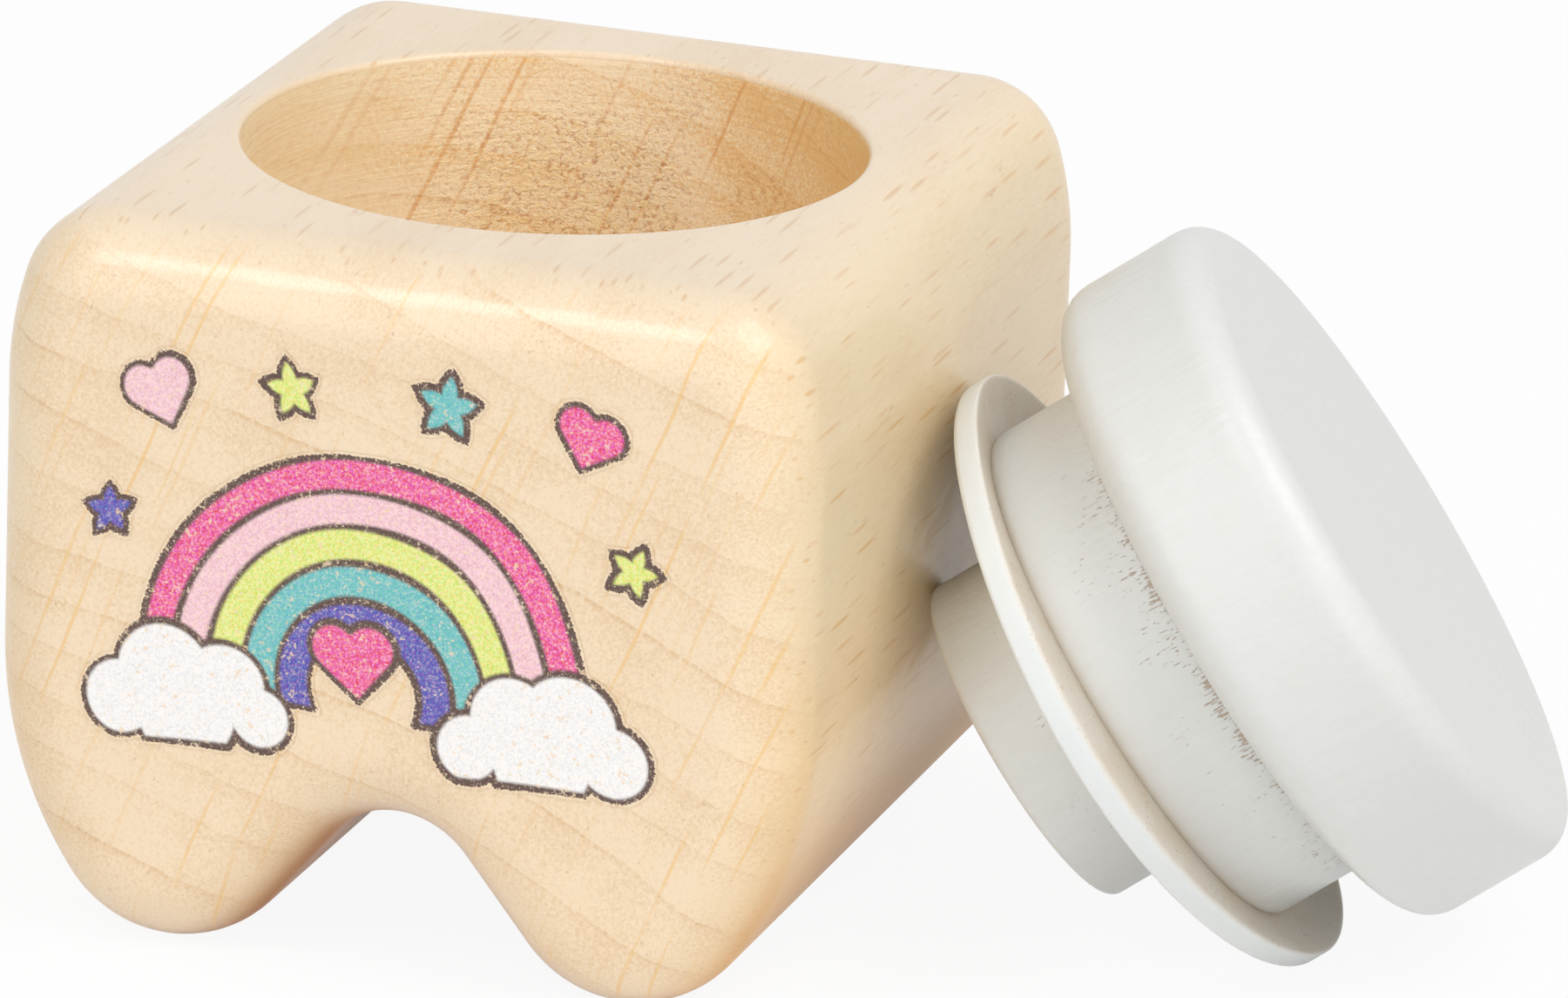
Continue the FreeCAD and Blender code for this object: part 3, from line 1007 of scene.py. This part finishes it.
def beech_figure(nodes, beech, raw=False):
    """Beech with its grain along Y: gives the colour, the height of fibres, and how far a place looks down.

    Growth rings and ray lines show on the end grain, dashes on the top and the sides, and fine grain all
    over. Raw wood is painted warmer and darker towards the right as shade on the chamber's right wall, has
    longer rays and shows its figure more strongly. Painted shade darkens and warms the lower sides and the
    undersides, most of all the channel between the roots; the top's cooler tone is partly its cut and partly
    painted shade."""
    late_share = 0.28
    line_share = 0.5
    ray_share = 0.6
    if raw:
        pale, warm, ray_colour = beech.raw_pale, beech.raw_warm, beech.raw_ray
        strength, ray_reach, ray_facing = 1.1, 20, 0.25
        pore_share, dash_share = 0.2, 0.15
    else:
        pale, warm, ray_colour = beech.pale, beech.warm, beech.ray
        strength, ray_reach, ray_facing = 1.0, 9, 0.6
        pore_share, dash_share = 0.24, 0.65
    end_face, side_face, level_face = cut_of_grain(nodes)
    cut_end = nodes.ramp(end_face, 0.1, 0.6)
    late, line = growth_rings(nodes, beech)
    ray, dash = wood_rays(nodes, beech, ray_reach)
    rings_shown = nodes.ramp(end_face, 0.1, 0.7, 0.25, 1.0)
    late = nodes.times(late, rings_shown)
    line = nodes.times(line, rings_shown)
    ray = nodes.times(ray, nodes.ramp(end_face, 0.1 * ray_facing, ray_facing))
    dash = nodes.times(dash, nodes.math("SUBTRACT", 1.0, cut_end))
    patch = nodes.noise((6, 22, 6), turned=ring_slope(beech))
    grain = nodes.noise((0.17, 1.5, 0.17), detail=3.0, roughness=0.6)
    speck = nodes.noise((0.30, 1.4, 0.30), detail=1.0)

    fine = nodes.times(nodes.ramp(grain, 0.25, 0.75, -0.55, 0.55), nodes.ramp(end_face, 0.1, 0.7, 0.4, 1.0))
    tone = nodes.plus(nodes.times(late, late_share), nodes.ramp(patch, 0.3, 0.7, -0.05, 0.4), fine)
    tone = nodes.times(tone, strength)
    place = nodes.place()
    # Painted shade: the bare wood grows darker and warmer towards the right, on the chamber's right wall.
    if raw:
        tone = nodes.plus(tone, nodes.ramp(place["X"], -2.0, 15.0, -0.1, 0.9))
    colour = nodes.mix(tone, pale, warm)
    # The sides' own tone, with painted shade making them darker and warmer towards the bottom.
    side_tone_and_shade = nodes.mix(nodes.ramp(place["Z"], 26.0, 12.0), beech.side, beech.low_side_shade)
    colour = nodes.mix(side_face, colour, side_tone_and_shade, blend="MULTIPLY")
    # The top's cooler, darker tone: partly its cut of grain, partly painted shade.
    colour = nodes.mix(level_face, colour, beech.top, blend="MULTIPLY")
    # Painted shade on the undersides, deepest and warmest in the channel between the roots.
    below = underside(nodes, place)
    inner = nodes.ramp(nodes.math("ABSOLUTE", place["X"]), 13.0, 9.0)
    under_shade = nodes.mix(inner, beech.under, beech.arch)
    colour = nodes.mix(below, colour, under_shade, blend="MULTIPLY")
    colour = nodes.mix(nodes.times(line, line_share * strength), colour, beech.line)
    colour = nodes.mix(nodes.times(ray, ray_share), colour, ray_colour)
    dash_colour = nodes.mix(level_face, beech.side_fleck, beech.fleck)
    colour = nodes.mix(nodes.times(dash, dash_share), colour, dash_colour)
    pores = nodes.ramp(speck, 0.68, 0.80)
    colour = nodes.mix(nodes.times(pores, pore_share), colour, beech.pore)
    return colour, grain, below


def satin(nodes, beech, grain):
    """Sockets of satin lacquer over wood: softened pores under a slightly wavy gloss."""
    wave = nodes.noise((2.2, 4.5, 2.2))
    return {"Normal": nodes.bump(grain, 0.012), "Specular IOR Level": 0.25,
            "Coat Roughness": beech.lacquer_roughness, "Coat Normal": nodes.bump(wave, 0.08)}


def lacquered_beech(beech):
    """Pale beech under satin lacquer, with little lacquer below."""
    material, nodes = new_material("lacquered_beech")
    colour, grain, below = beech_figure(nodes, beech)
    coat = nodes.ramp(below, 0.0, 1.0, 0.55, 0.05)
    lacquer = satin(nodes, beech, grain)
    nodes.principled({"Base Color": colour, "Roughness": 0.45, "Coat Weight": coat, **lacquer})
    return material


def raw_beech(beech):
    """Bare wood of the chamber: warmer, rough, and torn into pits and crumbs where the grain was cut across.

    It is torn in patches on the front and back walls, and worst a little to the left, below the mouth."""
    worst_left = 4.5
    pit_share = 0.6
    crumb_share = 0.9
    cut_height = 0.2
    material, nodes = new_material("raw_beech")
    colour = beech_figure(nodes, beech, raw=True)[0]
    crumbs = nodes.noise((0.40, 0.7, 0.34), detail=3.0, roughness=0.65, distortion=0.5)
    cut = nodes.noise((30, 30, 0.28))
    across_grain = cut_of_grain(nodes)[0]
    patch = nodes.noise((9, 9, 7), detail=1.0)
    place = nodes.place()
    aside = nodes.math("ABSOLUTE", nodes.plus(place["X"], worst_left))
    worst = nodes.times(nodes.ramp(aside, 9.0, 3.0), nodes.ramp(place["Z"], 39.0, 33.0))
    torn = nodes.plus(nodes.ramp(patch, 0.38, 0.6, 0.15, 0.6), worst)
    torn = nodes.times(across_grain, nodes.math("MINIMUM", torn, 1.0))
    pit = nodes.times(nodes.ramp(crumbs, 0.45, 0.36), torn)
    crumb = nodes.times(nodes.ramp(crumbs, 0.51, 0.60), torn)
    colour = nodes.mix(nodes.times(pit, pit_share), colour, beech.pit)
    colour = nodes.mix(nodes.times(crumb, crumb_share), colour, beech.crumb)
    height = nodes.plus(nodes.times(crumbs, torn), nodes.times(cut, cut_height))
    nodes.principled({"Base Color": colour, "Roughness": 0.78, "Normal": nodes.bump(height, 0.23),
                      "Specular IOR Level": 0.3})
    return material


def white_lacquer(lacquer, stopper):
    """White satin lacquer on turned wood: faint streaks along the axis, and spots that it missed.

    At the plug's end, where it meets the ring, a darker band is rubbed lacquer and painted shade.
    """
    skip_share = 0.36
    missed_share = 0.75
    missed_depth = 0.5
    streak_height = 0.7
    material, nodes = new_material("white_lacquer")
    turned, origin = lid_place(stopper)
    along_lid = {"turned": tuple(Matrix(turned.tolist()).to_euler()), "place": tuple(origin)}
    streaks = nodes.noise((0.5, 0.5, 3.2), detail=3.0, roughness=0.6, **along_lid)
    ticks = nodes.noise((0.11, 0.11, 0.5), **along_lid)
    peel = nodes.noise((1.3, 1.3, 1.9), **along_lid)
    clumps = nodes.noise((2.6, 2.6, 2.6), detail=1.0, **along_lid)
    skip = nodes.attribute("skip")
    level = nodes.plus(nodes.times(skip, skip_share), nodes.ramp(clumps, 0.35, 0.65, -0.10, 0.04))
    missed = nodes.times(nodes.ramp(nodes.plus(ticks, level), 0.71, 0.82), nodes.ramp(skip, 0.0, 0.05))
    colour = nodes.mix(nodes.ramp(streaks, 0.35, 0.75, 0.0, 0.25), lacquer.white, lacquer.shade)
    # Rubbed lacquer and painted shade in the crease where the plug meets the ring.
    colour = nodes.mix(nodes.attribute("worn"), colour, lacquer.worn)
    colour = nodes.mix(nodes.times(missed, missed_share), colour, lacquer.skip)
    height = nodes.plus(nodes.times(streaks, streak_height), peel)
    height = nodes.math("SUBTRACT", height, nodes.times(missed, missed_depth))
    nodes.principled({"Base Color": colour, "Roughness": 0.37, "Normal": nodes.bump(height, 0.065),
                      "Specular IOR Level": 0.45})
    return material


def milky_silicone(lacquer):
    """Milky silicone: light sinks in a little, and dust sticks to the upper face."""
    material, nodes = new_material("milky_silicone")
    speck_height = 0.5
    dust = nodes.attribute("dust")
    film = nodes.noise((2.4, 2.4, 2.4), detail=3.0)
    specks = nodes.noise((0.22, 0.22, 0.22), detail=1.0)
    clumps = nodes.noise((1.7, 1.7, 1.7), detail=1.0)
    haze = nodes.times(nodes.ramp(film, 0.3, 0.7, 0.7, 1.0), dust)
    spots = nodes.ramp(nodes.plus(specks, nodes.ramp(clumps, 0.4, 0.7, 0.0, 0.08)), 0.68, 0.78)
    spots = nodes.times(spots, nodes.ramp(dust, 0.0, 1.0, 0.05, 0.6))
    colour = nodes.mix(haze, lacquer.silicone, lacquer.dust)
    colour = nodes.mix(spots, colour, lacquer.skip)
    height = nodes.plus(nodes.times(specks, speck_height), film)
    nodes.principled({"Base Color": colour, "Roughness": 0.5, "Normal": nodes.bump(height, 0.03),
                      "Specular IOR Level": 0.4, "Subsurface Weight": 0.35,
                      "Subsurface Radius": (1.0, 0.9, 0.8), "Subsurface Scale": 1.2 * MM})
    return material


def grainy_ink(beech):
    """Inks of the print: grainy dots over the wood, thin at their edges and missing over deep pores."""
    material, nodes = new_material("grainy_ink")
    wood, grain = beech_figure(nodes, beech)[:2]
    ink = nodes.attribute("ink", output="Color")
    dots = nodes.noise((0.13, 0.13, 0.13), roughness=0.7)
    hues = nodes.noise((0.17, 0.17, 0.17), detail=1.0, place=(0.03, 0.0, 0.05))
    pits = nodes.noise((0.34, 1.6, 0.34))
    tinted = nodes.add("ShaderNodeHueSaturation", {
        "Color": ink, "Hue": nodes.ramp(hues, 0.3, 0.7, 0.46, 0.54),
        "Saturation": nodes.ramp(dots, 0.25, 0.75, 0.75, 1.15),
        "Value": nodes.ramp(dots, 0.25, 0.75, 1.12, 0.86)})
    ragged = nodes.plus(nodes.attribute("cover"), nodes.ramp(dots, 0.2, 0.8, -0.55, 0.35))
    shown = nodes.times(nodes.ramp(ragged, 0.35, 0.75), nodes.ramp(pits, 0.70, 0.63, 0.3, 1.0))
    colour = nodes.mix(shown, wood, tinted)
    lacquer = satin(nodes, beech, grain)
    nodes.principled({"Base Color": colour, "Roughness": 0.5, "Coat Weight": 0.4, **lacquer})
    return material


# Stage

def seen_directly(nodes):
    """1 for rays that come from the camera or by way of a mirror or glass, else 0."""
    path = nodes.add("ShaderNodeLightPath").node.outputs
    kinds = ("Is Camera Ray", "Is Glossy Ray", "Is Transmission Ray")
    return nodes.math("MAXIMUM", *[path[kind] for kind in kinds])


def pale_floor(stage):
    """White floor that takes a faint shadow where it is seen, and throws light back as white card does."""
    material, nodes = new_material("pale_floor")
    fibre_shade = 0.97
    fibres = nodes.noise((3, 3, 3))
    pale = [stage.floor_white] * 3
    shaded = [fibre_shade * stage.floor_white] * 3
    colour = nodes.mix(nodes.ramp(fibres, 0.3, 0.7), pale, shaded)
    card = nodes.add("ShaderNodeBsdfDiffuse", {"Color": colour})
    glow = nodes.add("ShaderNodeEmission", {"Color": (1.0, 1.0, 1.0), "Strength": 1.0})
    amount = nodes.times(seen_directly(nodes), stage.floor_glow)
    nodes.surface(nodes.add("ShaderNodeMixShader", {0: amount, 1: card, 2: glow}))
    return material


def white_tent(scene, stage):
    """World: a white tent, plain white where it is seen."""
    world = bpy.data.worlds.new("white_tent")
    world.use_nodes = True
    nodes = Nodes(world.node_tree)
    strength = nodes.ramp(seen_directly(nodes), 0.0, 1.0, stage.tent, 1.0)
    shader = nodes.add("ShaderNodeBackground", {"Color": (1.0, 1.0, 1.0), "Strength": strength})
    nodes.surface(shader, kind="ShaderNodeOutputWorld")
    scene.world = world


def direction(azimuth, elevation):
    """Unit vector from the object, turned from the front to the right and raised from the horizon."""
    flat = math.cos(elevation)
    return Vector((math.sin(azimuth) * flat, -math.cos(azimuth) * flat, math.sin(elevation)))


def softbox(stage, name):
    """Square area light at a distance from the block, turned towards it."""
    lamp = bpy.data.lights.new(name, "AREA")
    lamp.size = getattr(stage, name + "_size")
    lamp.energy = getattr(stage, name + "_power")
    made = bpy.data.objects.new(name, lamp)
    out = direction(getattr(stage, name + "_azimuth"), getattr(stage, name + "_elevation"))
    made.location = out * stage.lamp_distance + Vector((0, 0, block_high.z / 2))
    made.rotation_euler = (-out).to_track_quat("-Z", "Y").to_euler()
    bpy.context.scene.collection.objects.link(made)


def photo_camera(stage):
    """Camera at the photograph's viewing angle: turned about a point, and aimed a little beside it."""
    out = direction(stage.azimuth, stage.elevation)
    level = Vector((math.cos(stage.azimuth), math.sin(stage.azimuth), 0))
    above = out.cross(level)
    right = math.cos(stage.roll) * level + math.sin(stage.roll) * above
    up = math.cos(stage.roll) * above - math.sin(stage.roll) * level
    target = Vector((0, 0, stage.target_height))
    place = target + out * stage.distance
    ahead = (target + right * stage.aim_right - up * stage.aim_down - place).normalized()
    side = ahead.cross(up).normalized()
    lens = bpy.data.cameras.new("camera")
    lens.lens = stage.lens
    lens.sensor_width = 36.0
    lens.clip_start = 0.01
    lens.clip_end = 100.0
    made = bpy.data.objects.new("camera", lens)
    axes = Matrix((side, side.cross(ahead), -ahead)).transposed()
    made.matrix_world = Matrix.Translation(place) @ axes.to_4x4()
    bpy.context.scene.collection.objects.link(made)
    bpy.context.scene.camera = made


def floor_shell(stage):
    """Square floor, a hair below the standing flats."""
    gap = 0.02 * MM
    steps = 8
    side = np.linspace(-0.5, 0.5, steps + 1) * stage.floor_size
    y, x = np.meshgrid(side, side)
    shell = Shell()
    shell.sheet(shell.add(np.stack([x, y, np.full_like(x, -gap)], axis=-1)))
    return shell


# Operators

class TOOTHBOX_OT_stage(Operator):
    """Sets the floor, the white tent, the softboxes and the camera"""
    bl_idname = "toothbox.stage"
    bl_label = "Stage"

    def execute(self, context):
        stage = context.scene.toothbox.stage
        context.scene.view_settings.view_transform = "Standard"
        floor_shell(stage).piece("floor", [pale_floor(stage)])
        white_tent(context.scene, stage)
        for name in ("key", "fill", "front", "corner"):
            softbox(stage, name)
        photo_camera(stage)
        return {"FINISHED"}


class TOOTHBOX_OT_block(Operator):
    """Builds the beech block with its chamber"""
    bl_idname = "toothbox.block"
    bl_label = "Beech block"

    def execute(self, context):
        settings = context.scene.toothbox
        finishes = [lacquered_beech(settings.beech), raw_beech(settings.beech)]
        piece = block_shell(settings.block).piece("beech_block", finishes)
        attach(piece, "box")
        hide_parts("tooth_body")
        return {"FINISHED"}


class TOOTHBOX_OT_print(Operator):
    """Lays the printed film on the front of the block"""
    bl_idname = "toothbox.print"
    bl_label = "Front print"

    def execute(self, context):
        settings = context.scene.toothbox
        finish = grainy_ink(settings.beech)
        piece = print_shell(settings.front, settings.block).piece("front_print", [finish])
        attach(piece, "box")
        return {"FINISHED"}


class TOOTHBOX_OT_stopper(Operator):
    """Builds the turned white stopper where the lid lies"""
    bl_idname = "toothbox.stopper"
    bl_label = "White stopper"

    def execute(self, context):
        settings = context.scene.toothbox
        finish = white_lacquer(settings.lacquer, settings.stopper)
        piece = stopper_shell(settings.stopper).piece("white_stopper", [finish])
        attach(piece, "lid")
        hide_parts("lid_stopper")
        return {"FINISHED"}


class TOOTHBOX_OT_ring(Operator):
    """Builds the bent silicone ring on the stopper's neck"""
    bl_idname = "toothbox.ring"
    bl_label = "Sealing ring"

    def execute(self, context):
        settings = context.scene.toothbox
        finish = milky_silicone(settings.lacquer)
        piece = ring_shell(settings.ring, settings.stopper).piece("silicone_ring", [finish])
        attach(piece, "lid")
        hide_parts("sealing_ring")
        return {"FINISHED"}


class TOOTHBOX_PT_pieces(Panel):
    """Lists the pieces and their settings"""
    bl_idname = "TOOTHBOX_PT_pieces"
    bl_label = "Tooth box"
    bl_space_type = "VIEW_3D"
    bl_region_type = "UI"
    bl_category = "Tooth box"

    def draw(self, context):
        settings = context.scene.toothbox
        for operator in OPERATORS:
            self.layout.operator(operator.bl_idname)
        for key in ToothBoxSettings.__annotations__:
            group = getattr(settings, key)
            box = self.layout.box()
            box.label(text=key.capitalize())
            for name in group.__annotations__:
                box.prop(group, name)


SETTINGS = (BlockSettings, StopperSettings, RingSettings, BeechSettings, LacquerSettings, PrintSettings,
            StageSettings, ToothBoxSettings)
OPERATORS = (TOOTHBOX_OT_stage, TOOTHBOX_OT_block, TOOTHBOX_OT_print, TOOTHBOX_OT_stopper, TOOTHBOX_OT_ring)
CLASSES = SETTINGS + OPERATORS + (TOOTHBOX_PT_pieces,)


def register():
    for kind in CLASSES:
        bpy.utils.register_class(kind)
    bpy.types.Scene.toothbox = PointerProperty(type=ToothBoxSettings)


def unregister():
    del bpy.types.Scene.toothbox
    for kind in reversed(CLASSES):
        bpy.utils.unregister_class(kind)


def main():
    register()
    bpy.ops.toothbox.stage()
    bpy.ops.toothbox.block()
    bpy.ops.toothbox.print()
    bpy.ops.toothbox.stopper()
    bpy.ops.toothbox.ring()


if __name__ == "__main__":
    main()
